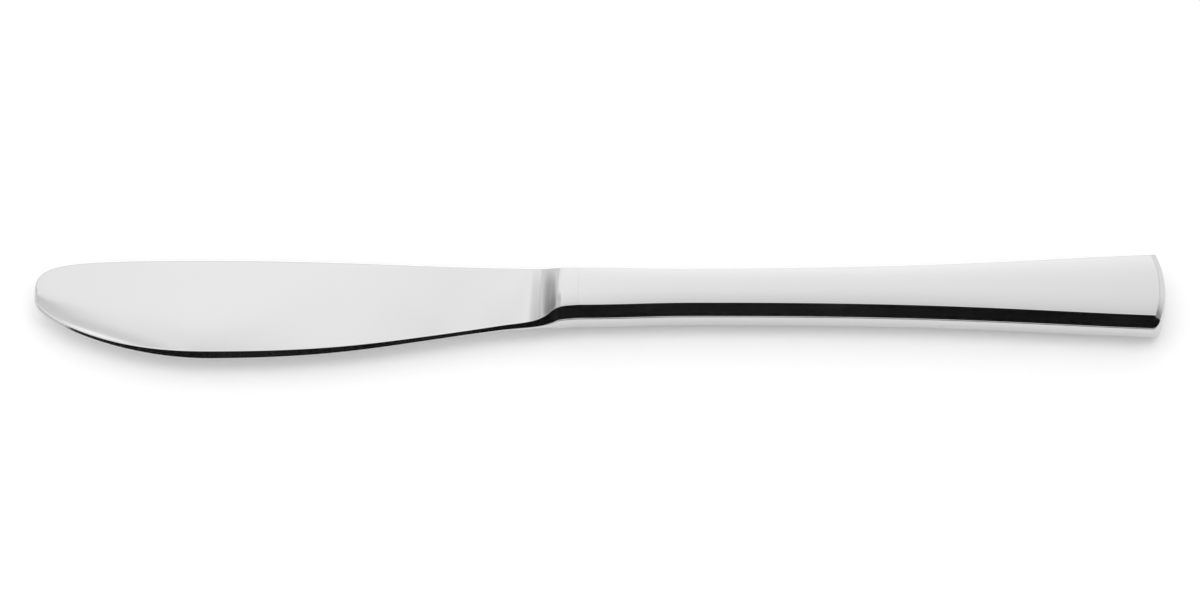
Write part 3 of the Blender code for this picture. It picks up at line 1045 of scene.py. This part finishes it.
@dataclass
class HandleShells:
    """The two pressed half shells of the handle."""

    form: HandleForm
    side_steps: int = 90
    corner_steps: int = 10
    end_steps: int = 90
    across_steps: int = 28
    cavity_steps: tuple[int, int, int] = (20, 4, 12)
    cavity_lead: float = 1.0 * MM

    def levels(self, width: float, drop: float) -> Profile:
        """Gives the wall's profile from the rim to a level face.

        Args:
            width: The bevel's width seen from above.
            drop: How far the bevel falls.

        Returns:
            Insets from the outer wall and heights above the seam.
        """
        form = self.form
        top = form.thickness / 2
        soft = (form.wall_softness, form.face_softness)
        return side_profile(form.rim_half, top - drop, width, top, form.seam_swell, soft)

    def trace(self, inset: float, end_inset: float) -> list[Vector]:
        """Traces the outside at its insets, from the front to the butt's end, seen from above."""
        steps = (self.side_steps, self.corner_steps, self.end_steps)
        return self.form.far_side(self.form.shell_x, inset, end_inset, steps)

    def end_shares(self, count: int) -> list[float]:
        """Gives how far each point of a trace has turned from the side to the butt's end.

        Args:
            count: Number of points in the trace.

        Returns:
            A share for each point: 0 along the side and 1 along the end.
        """
        turned = []
        for step in range(self.corner_steps + 1):
            turn = self.form.corner_turn * step / self.corner_steps
            turned.append((1 - math.cos(turn)) / (1 - math.cos(self.form.corner_turn)))
        turned += [1.0] * self.end_steps
        return [0.0] * (count - len(turned)) + turned

    def outside(self) -> tuple[list[Vector], Faces]:
        """Builds half the handle's outside, closed by a flat underside at the seam.

        Returns:
            The corners, as heights above the seam, and the faces.
        """
        form = self.form
        curves = form.side_curves()
        side_levels = self.levels(form.bevel_width, form.bevel_drop)
        end_levels = self.levels(form.end_bevel_width, form.end_bevel_drop)
        levels = list(zip(side_levels, end_levels))
        lines = [self.trace(side[0], end[0]) for side, end in levels]
        crease = self.trace(form.bevel_width, form.end_bevel_width)
        rings = []
        for index, share in enumerate(self.end_shares(len(crease))):
            half_width = curve_at(curves, crease[index].x) - form.bevel_width
            far = []
            for line, ((inset, height), (_, end_height)) in zip(lines, levels):
                place = line[index]
                height += (end_height - height) * share
                lowered = form.crown_drop(min(place.y, half_width), half_width)
                lowered *= clamped(inset / form.bevel_width)
                far.append(Vector((place.x, place.y, height - lowered)))
            ring = [Vector((p.x, -p.y, p.z)) for p in far]
            edge = far[-1]
            for step in range(1, self.across_steps):
                y = -edge.y * math.cos(math.pi * step / self.across_steps)
                drop = form.crown_drop(y, half_width)
                ring.append(Vector((edge.x, y, form.thickness / 2 - drop)))
            ring += far[::-1]
            # The side's bevel runs on over the corner until the butt's end cuts it off.
            if share > 0:
                crown = form.crown_drop(half_width, half_width)
                for point in ring:
                    place = Vector((point.x, abs(point.y)))
                    point.z = min(point.z, form.bevel_height(place, crown))
            rings.append(ring)
        points, faces = joined_rings(rings)
        faces.append(tuple(range(len(rings[0]))))
        return points, faces

    def cavity(self) -> bpy.types.Object:
        """Builds the cutter for the hollow inside both shells.

        Returns:
            The cutter.
        """
        form = self.form
        front_x = form.joint_x - self.cavity_lead
        wall_inset, wall_half, face_inset, face_half = form.corner(form.wall)
        rings = []
        for inset, height in (
            (face_inset, -face_half),
            (wall_inset, -wall_half),
            (wall_inset, wall_half),
            (face_inset, face_half),
        ):
            line = form.outline(front_x, inset, self.cavity_steps)
            rings.append([Vector((p.x, p.y, form.mid_z + height)) for p in line])
        points, faces = joined_rings(rings)
        count = len(rings[0])
        faces += [tuple(range(count)), tuple(range(len(points) - count, len(points)))]
        return piece_from_faces("handle_cavity", points, faces, [])

    def build(self, steel: bpy.types.Material) -> list[bpy.types.Object]:
        """Makes both shells, hollow, and dresses them.

        Args:
            steel: The shells' polished steel.

        Returns:
            The upper and the lower shell.
        """
        points, faces = self.outside()
        cavity = self.cavity()
        made = []
        for half in Half:
            side = 1 if half is Half.UPPER else -1
            turned = [Vector((p.x, p.y, self.form.mid_z + side * p.z)) for p in points]
            solid = piece_from_faces(f"{half.value}_solid", turned, faces, [steel])
            cut = solid.modifiers.new("hollow", "BOOLEAN")
            cut.operation = "DIFFERENCE"
            cut.solver = "EXACT"
            cut.object = cavity
            shell = settled(solid, f"{half.value}_shell")
            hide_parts(f"{half.value}_handle_shell")
            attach(shell, "root")
            made.append(shell)
        bpy.data.objects.remove(cavity)
        return made


@dataclass
class Braze:
    """The thin braze that joins the shells to each other and to the bolster."""

    form: HandleForm
    width: float = 0.8 * MM
    path_steps: tuple[int, int, int] = (60, 8, 24)
    across_steps: int = 12

    def path(self) -> bpy.types.Object:
        """Draws the line along the middle of the seam's braze, round the butt.

        Returns:
            An object of edges only.
        """
        form = self.form
        line = form.outline(form.shell_x, self.width / 2 - form.seam_swell, self.path_steps)
        mesh = bpy.data.meshes.new("seam_path")
        edges = [(index, index + 1) for index in range(len(line) - 1)]
        mesh.from_pydata([(p.x, p.y, form.mid_z) for p in line], edges, [])
        return placed("seam_path", mesh)

    def seam_tree(self) -> bpy.types.GeometryNodeTree:
        """Builds the nodes that sweep the flat bead of braze along the seam.

        Returns:
            The tree, with the bead's sizes and its material as named inputs.
        """
        tree = bpy.data.node_groups.new("seam_braze_bead", "GeometryNodeTree")
        for name, way, kind in (
            ("Seam path", "INPUT", "NodeSocketGeometry"),
            ("Bead width", "INPUT", "NodeSocketFloat"),
            ("Bead thickness", "INPUT", "NodeSocketFloat"),
            ("Braze", "INPUT", "NodeSocketMaterial"),
            ("Bead", "OUTPUT", "NodeSocketGeometry"),
        ):
            tree.interface.new_socket(name, in_out=way, socket_type=kind)
        given = add_node(tree, "NodeGroupInput")
        path = {"Mesh": given["Seam path"]}
        line = {"Curve": add_node(tree, "GeometryNodeMeshToCurve", path)["Curve"]}
        upright = add_node(tree, "GeometryNodeSetCurveNormal", line, mode="Z_UP")["Curve"]
        size = {"Width": given["Bead width"], "Height": given["Bead thickness"]}
        bead = add_node(tree, "GeometryNodeCurvePrimitiveQuadrilateral", size)["Curve"]
        sweep = {"Curve": upright, "Profile Curve": bead, "Fill Caps": True}
        swept = add_node(tree, "GeometryNodeCurveToMesh", sweep)["Mesh"]
        real = add_node(tree, "GeometryNodeRealizeInstances", {"Geometry": swept})["Geometry"]
        finish = {"Geometry": real, "Material": given["Braze"]}
        dressed = add_node(tree, "GeometryNodeSetMaterial", finish)["Geometry"]
        add_node(tree, "NodeGroupOutput", {"Bead": dressed})
        return tree

    def seam(self, silver: bpy.types.Material) -> bpy.types.Object:
        """Sweeps the bead between the shells' rims.

        Args:
            silver: The braze's finish.

        Returns:
            The bead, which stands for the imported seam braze.
        """
        source = self.path()
        sweep = source.modifiers.new("bead", "NODES")
        sweep.node_group = self.seam_tree()
        values = {
            "Bead width": self.width,
            "Bead thickness": self.form.braze_thickness,
            "Braze": silver,
        }
        for socket in sweep.node_group.interface.items_tree:
            if socket.name in values:
                sweep[socket.identifier] = values[socket.name]
        return settled(source, "seam_braze_bead")

    def mouth(self, silver: bpy.types.Material) -> bpy.types.Object:
        """Makes the flat ring between the back of the bolster and the shells' mouth.

        Args:
            silver: The braze's finish.

        Returns:
            The ring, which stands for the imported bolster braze.
        """
        form = self.form
        soft = (form.wall_softness, form.face_softness)
        face = FaceForm(form.neck_crown, form.crown_power, 1.0, *soft)
        front = form.joint_x + form.braze_gap
        back = front + form.braze_thickness
        outer, inner = (0.0, form.seam_swell), (self.width, 0.0)
        rings = []
        for x, edge in ((front, outer), (back, outer), (back, inner), (front, inner)):
            half = section_line(*form.even_sides(x, *edge), face, self.across_steps)
            rings.append(whole_ring(half, form.mid_z))
        points, faces = joined_rings(rings + rings[:1])
        return piece_from_faces("bolster_braze_ring", points, faces, [silver])

    def build(self, silver: bpy.types.Material) -> list[bpy.types.Object]:
        """Makes and dresses both runs of braze.

        Args:
            silver: The braze's finish.

        Returns:
            The seam's bead and the bolster's ring.
        """
        made = [self.seam(silver), self.mouth(silver)]
        for piece, node in zip(made, ("seam_braze", "bolster_braze")):
            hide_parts(node)
            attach(piece, "root")
        return made


@dataclass
class HandleFilling:
    """The cement behind the spigot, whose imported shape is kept."""

    node: str = "handle_cement"

    def build(self, cement: bpy.types.Material) -> bpy.types.Object:
        """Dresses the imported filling.

        Args:
            cement: The set cement.

        Returns:
            The filling.
        """
        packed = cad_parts[self.node]
        for slot in packed.material_slots:
            slot.material = cement
        return packed


@dataclass
class TopSoftBox:
    """The soft box straight above the knife."""

    name: str = "top_soft_box"
    width: float = 3.6
    depth: float = 1.2
    height: float = 2.2
    radiance: float = 0.75

    def build(self) -> bpy.types.Object:
        """Hangs the soft box.

        Returns:
            The lamp.
        """
        lamp = bpy.data.lights.new(self.name, "AREA")
        lamp.shape = "RECTANGLE"
        lamp.size, lamp.size_y = self.width, self.depth
        lamp.energy = self.radiance * math.pi * self.width * self.depth
        made = placed(self.name, lamp)
        made.location.z = self.height
        made.visible_camera = False
        return made


class Column(NamedTuple):
    """How one column of a soft box fades upwards, and where across the cloth it takes over.

    A slanted column's fade climbs by its slant for every metre to the right.
    """

    start: float
    full: float
    fade: Fade
    slant: float = 0.0


@dataclass
class GradedSoftBox:
    """The wide soft box behind the knife, whose cloth fades towards its edges.

    Places across it are metres to the right of the knife's middle, and places up it are metres
    above the point that faces the knife squarely.
    """

    name: str
    elevation: float
    distance: float
    across: tuple[float, float]
    upward: tuple[float, float]
    peak: float
    side_fade: Fade
    columns: list[Column]

    def faded(
        self, tree: bpy.types.NodeTree, place: bpy.types.NodeSocket, fade: Fade
    ) -> bpy.types.NodeSocket:
        """Adds a fade along the cloth.

        Args:
            tree: The cloth's tree.
            place: The place along the cloth.
            fade: Places, in order, and the share of light at each.

        Returns:
            The share of light.
        """
        low, high = fade[0][0], fade[-1][0]
        span = {"Value": place, "From Min": low, "From Max": high}
        share = add_node(tree, "ShaderNodeMapRange", span)["Result"]
        light = add_node(tree, "ShaderNodeValToRGB", {"Fac": share})["Color"]
        stops = light.node.color_ramp.elements
        while len(stops) < len(fade):
            stops.new(1.0)
        for stop, (where, level) in zip(stops, fade):
            stop.position = (where - low) / (high - low)
            stop.color = (level, level, level, 1.0)
        return light

    def cloth(self, up: Vector) -> bpy.types.Material:
        """Builds the cloth: woven diffuser, lit from behind, which glows without a hot spot.

        Args:
            up: The direction up the cloth.

        Returns:
            The material.
        """
        made, tree = new_material(f"{self.name}_cloth")
        place = add_node(tree, "ShaderNodeTexCoord")["Object"]
        aside = add_node(tree, "ShaderNodeSeparateXYZ", {"Vector": place})["X"]
        along = {0: place, 1: up}
        height = add_node(tree, "ShaderNodeVectorMath", along, operation="DOT_PRODUCT")["Value"]
        light: bpy.types.NodeSocket | float = 0.0
        for column in self.columns:
            climb = {0: aside, 1: -column.slant, 2: height}
            climbed = add_node(tree, "ShaderNodeMath", climb, operation="MULTIPLY_ADD")["Value"]
            blend = {
                "Factor": self.faded(tree, aside, [(column.start, 0.0), (column.full, 1.0)]),
                "A": light,
                "B": self.faded(tree, climbed, column.fade),
            }
            light = add_node(tree, "ShaderNodeMix", blend, data_type="FLOAT")["Result"]
        for share in (self.faded(tree, aside, self.side_fade), self.peak):
            both = {0: light, 1: share}
            light = add_node(tree, "ShaderNodeMath", both, operation="MULTIPLY")["Value"]
        glow = add_node(tree, "ShaderNodeEmission", {"Strength": light})["Emission"]
        feed(tree.nodes["Material Output"], {"Surface": glow})
        return made

    def build(self) -> bpy.types.Object:
        """Hangs the cloth square to the knife.

        Returns:
            The cloth.
        """
        lift = math.radians(self.elevation)
        away = Vector((0.0, math.cos(lift), math.sin(lift))) * self.distance
        up = Vector((0.0, -math.sin(lift), math.cos(lift)))
        (left, right), (low, high) = self.across, self.upward
        corners = ((left, low), (right, low), (right, high), (left, high))
        points = [away + up * v + Vector((u, 0.0, 0.0)) for u, v in corners]
        made = piece_from_faces(self.name, points, [(0, 1, 2, 3)], [self.cloth(up)])
        made.visible_camera = False
        made.visible_shadow = False
        return made


@dataclass
class Card:
    """An upright card that only the steel's reflections see, fading to one side and upwards."""

    name: str
    ends: tuple[tuple[float, float], tuple[float, float]]
    low: float
    high: float
    dark_colour: str
    faded_colour: str
    side_fade: tuple[float, float]
    top_fade: tuple[float, float]

    def painted_glow(self) -> bpy.types.Material:
        """Builds the card's face: it glows with a painted tone of its own instead of being lit, so
        the steel shows a painted reflection of it.

        Returns:
            The material.
        """
        made, tree = new_material(f"{self.name}_felt")
        place = add_node(tree, "ShaderNodeTexCoord")["Object"]
        axes = add_node(tree, "ShaderNodeSeparateXYZ", {"Vector": place})
        shares = []
        for axis, (dark, faded) in (("X", self.side_fade), ("Z", self.top_fade)):
            span = {"Value": axes[axis], "From Min": dark, "From Max": faded}
            fade = add_node(tree, "ShaderNodeMapRange", span, interpolation_type="SMOOTHSTEP")
            shares.append(fade["Result"])
        more = dict(enumerate(shares))
        share = add_node(tree, "ShaderNodeMath", more, operation="MAXIMUM")["Value"]
        mix = {"Factor": share, "A": linear(self.dark_colour), "B": linear(self.faded_colour)}
        colour = add_node(tree, "ShaderNodeMix", mix, data_type="RGBA")["Result"]
        # The card is no lamp: this glow is its painted tone, dark to near white, which the steel
        # shows as a painted reflection.
        glow = add_node(tree, "ShaderNodeEmission", {"Color": colour})["Emission"]
        feed(tree.nodes["Material Output"], {"Surface": glow})
        return made

    def build(self) -> bpy.types.Object:
        """Stands up the card.

        Returns:
            The card.
        """
        (ax, ay), (bx, by) = self.ends
        corners = [(ax, ay, self.low), (bx, by, self.low), (bx, by, self.high), (ax, ay, self.high)]
        points = [Vector(corner) for corner in corners]
        made = piece_from_faces(self.name, points, [(0, 1, 2, 3)], [self.painted_glow()])
        made.visible_camera = False
        made.visible_diffuse = False
        made.visible_shadow = False
        made.visible_transmission = False
        return made


@dataclass
class Studio:
    """The white table, the soft boxes, the cards in the reflections and the camera."""

    mid_z: float
    camera_elevation: float = 57.0
    camera_distance: float = 0.9
    camera_near: float = 0.01
    camera_roll: float = -0.15
    frame_width: float = 220.7 * MM
    frame_drop: float = 0.23 * MM
    sensor: float = 36.0
    table_size: float = 12.0
    table_colour: str = "#F9F9F9"
    table_roughness: float = 0.95
    table_lift: float = 0.12
    white: str = "#FFFFFF"
    surround: float = 0.8
    cards: list[Card] = field(default_factory=list)
    boxes: list[TopSoftBox | GradedSoftBox] = field(default_factory=list)

    def table(self) -> None:
        """Lays the white table."""
        half = self.table_size / 2
        corners = ((-half, -half), (half, -half), (half, half), (-half, half))
        points = [Vector((x, y, 0.0)) for x, y in corners]
        # Uncoated paper has no gloss, so that only the knife's soft shadow shows on it.
        paper, tree = new_material("matt_white_table_paper")
        # The last step to white is seen by the camera and in reflections, and lights nothing.
        path = add_node(tree, "ShaderNodeLightPath")
        seen = path["Is Camera Ray"]
        for ray in ("Is Glossy Ray", "Is Transmission Ray"):
            either = {0: seen, 1: path[ray]}
            seen = add_node(tree, "ShaderNodeMath", either, operation="MAXIMUM")["Value"]
        raised = {0: seen, 1: self.table_lift}
        lift = add_node(tree, "ShaderNodeMath", raised, operation="MULTIPLY")["Value"]
        matt = {
            "Base Color": linear(self.table_colour),
            "Roughness": self.table_roughness,
            "Specular IOR Level": 0.0,
            "Emission Color": linear(self.white),
            "Emission Strength": lift,
        }
        feed(tree.nodes["Principled BSDF"], matt)
        piece_from_faces("table", points, [(0, 1, 2, 3)], [paper])

    def world(self) -> None:
        """Sets the even grey of the room."""
        world = bpy.data.worlds.new("studio_room")
        world.use_nodes = True
        even = {"Color": linear(self.white), "Strength": self.surround}
        feed(world.node_tree.nodes["Background"], even)
        bpy.context.scene.world = world

    def camera(self) -> None:
        """Sets the camera at the photograph's angle."""
        tilt = math.radians(self.camera_elevation)
        back = Vector((0.0, -math.cos(tilt), math.sin(tilt)))
        up = Vector((0.0, math.sin(tilt), math.cos(tilt)))
        target = Vector((0.0, 0.0, self.mid_z)) - up * self.frame_drop
        lens = bpy.data.cameras.new("camera")
        lens.sensor_width = self.sensor
        lens.lens = self.sensor * self.camera_distance / self.frame_width
        lens.clip_start = self.camera_near
        made = placed("camera", lens)
        made.location = target + back * self.camera_distance
        turn = (-back).to_track_quat("-Z", "Y").to_matrix()
        made.rotation_euler = turn.to_euler()
        made.rotation_euler.rotate_axis("Z", math.radians(self.camera_roll))
        bpy.context.scene.camera = made

    def build(self) -> None:
        """Sets up the whole studio."""
        self.table()
        self.world()
        for item in self.cards + self.boxes:
            item.build()
        self.camera()
        bpy.context.scene.view_settings.view_transform = "Standard"


def reflection_cards() -> list[Card]:
    """Describes the cards that darken the knife's wall, its butt and the rise of its bolster.

    Returns:
        The cards in front, on the right and on the left.
    """
    front = Card(
        name="front_black_card",
        ends=((-1.5, -1.2), (0.8, -1.2)),
        low=0.0,
        high=0.6,
        dark_colour="#060606",
        faded_colour="#0A0A0A",
        side_fade=(-1.5, 0.8),
        top_fade=(0.0, 0.6),
    )
    right = Card(
        name="right_grey_card",
        ends=((2.6, -1.2), (1.75, 0.75)),
        low=0.02,
        high=0.62,
        dark_colour="#202020",
        faded_colour="#FAFAFA",
        side_fade=(1.98, 1.77),
        top_fade=(0.62, 0.7),
    )
    left = Card(
        name="left_grey_card",
        ends=((-1.594, 0.139), (-0.72, 1.55)),
        low=0.02,
        high=1.25,
        dark_colour="#9A9A9A",
        faded_colour="#FAFAFA",
        side_fade=(-1.25, -1.07),
        top_fade=(0.6, 1.25),
    )
    return [front, right, left]


def back_soft_box() -> GradedSoftBox:
    """Describes the soft box that the blade's, the rise's and the handle's faces reflect.

    Returns:
        The soft box, with a column of its cloth for each of those faces, from left to right.
    """
    rise_fade = [
        (-1.5, 0.85), (0.405, 0.85), (0.44, 1.0), (0.47, 0.97), (0.495, 0.87), (0.51, 0.76),
        (0.525, 0.66), (0.537, 0.58), (0.555, 0.5), (0.6, 0.47), (0.72, 0.62), (1.5, 0.64),
    ]
    blade_fade = [
        (-1.1, 0.85), (-0.15, 0.87), (0.03, 0.89), (0.27, 0.91), (0.53, 0.92), (0.65, 0.86),
        (0.8, 0.72), (0.95, 0.65),
    ]
    rim_fade = [
        (-1.1, 0.85), (-0.15, 0.87), (0.03, 0.89), (0.27, 0.915), (0.34, 0.91), (0.38, 0.875),
        (0.42, 0.835), (0.48, 0.8), (0.53, 0.76), (0.65, 0.72), (0.95, 0.65),
    ]
    handle_fade = [
        (-1.1, 0.95), (-0.15, 1.0), (0.077, 0.905), (0.27, 0.84), (0.37, 0.805), (0.45, 0.74),
        (0.6, 0.69), (0.715, 0.62), (0.95, 0.58),
    ]
    butt_fade = [
        (-1.1, 0.95), (-0.15, 1.0), (0.077, 0.905), (0.27, 0.84), (0.39, 0.82), (0.6, 0.75),
        (0.715, 0.65), (0.95, 0.6),
    ]
    side_fade = [
        (-1.7, 0.8), (-1.3, 0.85), (-1.22, 0.97), (-1.1, 1.0), (-0.6, 1.0), (-0.4, 0.98),
        (-0.3, 1.0), (0.2, 1.0), (0.35, 0.95), (0.5, 0.88), (0.8, 0.75), (1.4, 0.6),
    ]
    return GradedSoftBox(
        name="back_soft_box",
        elevation=50.0,
        distance=2.2,
        across=(-1.7, 1.4),
        upward=(-1.1, 0.95),
        peak=1.42,
        side_fade=side_fade,
        columns=[
            Column(-1.8, -1.7, rise_fade, slant=0.306),
            Column(-0.6, -0.46, blade_fade),
            Column(-0.42, -0.34, rim_fade),
            Column(-0.2, -0.12, blade_fade),
            Column(-0.05, 0.0, handle_fade),
            Column(0.2, 0.26, butt_fade),
        ],
    )


def main() -> None:
    """Builds the knife's pieces and the studio, in order."""
    logging.basicConfig(level=logging.INFO, format="%(name)s: %(message)s")
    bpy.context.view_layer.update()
    form = HandleForm()
    blade_steel = MirrorSteel("blade_steel_mirror_buffed", PolishRun.ACROSS).material()
    handle_steel = MirrorSteel("handle_steel_mirror_buffed", PolishRun.ALONG).material()
    pieces = [BladeForging(form).build(blade_steel)]
    pieces += HandleShells(form).build(handle_steel)
    pieces += Braze(form).build(SilverBraze().material())
    pieces.append(HandleFilling().build(SetCement().material()))
    for piece in pieces:
        LOG.info("%s: %d faces", piece.name, len(piece.data.polygons))
    boxes = [back_soft_box(), TopSoftBox()]
    Studio(form.mid_z, cards=reflection_cards(), boxes=boxes).build()


if __name__ == "__main__":
    main()
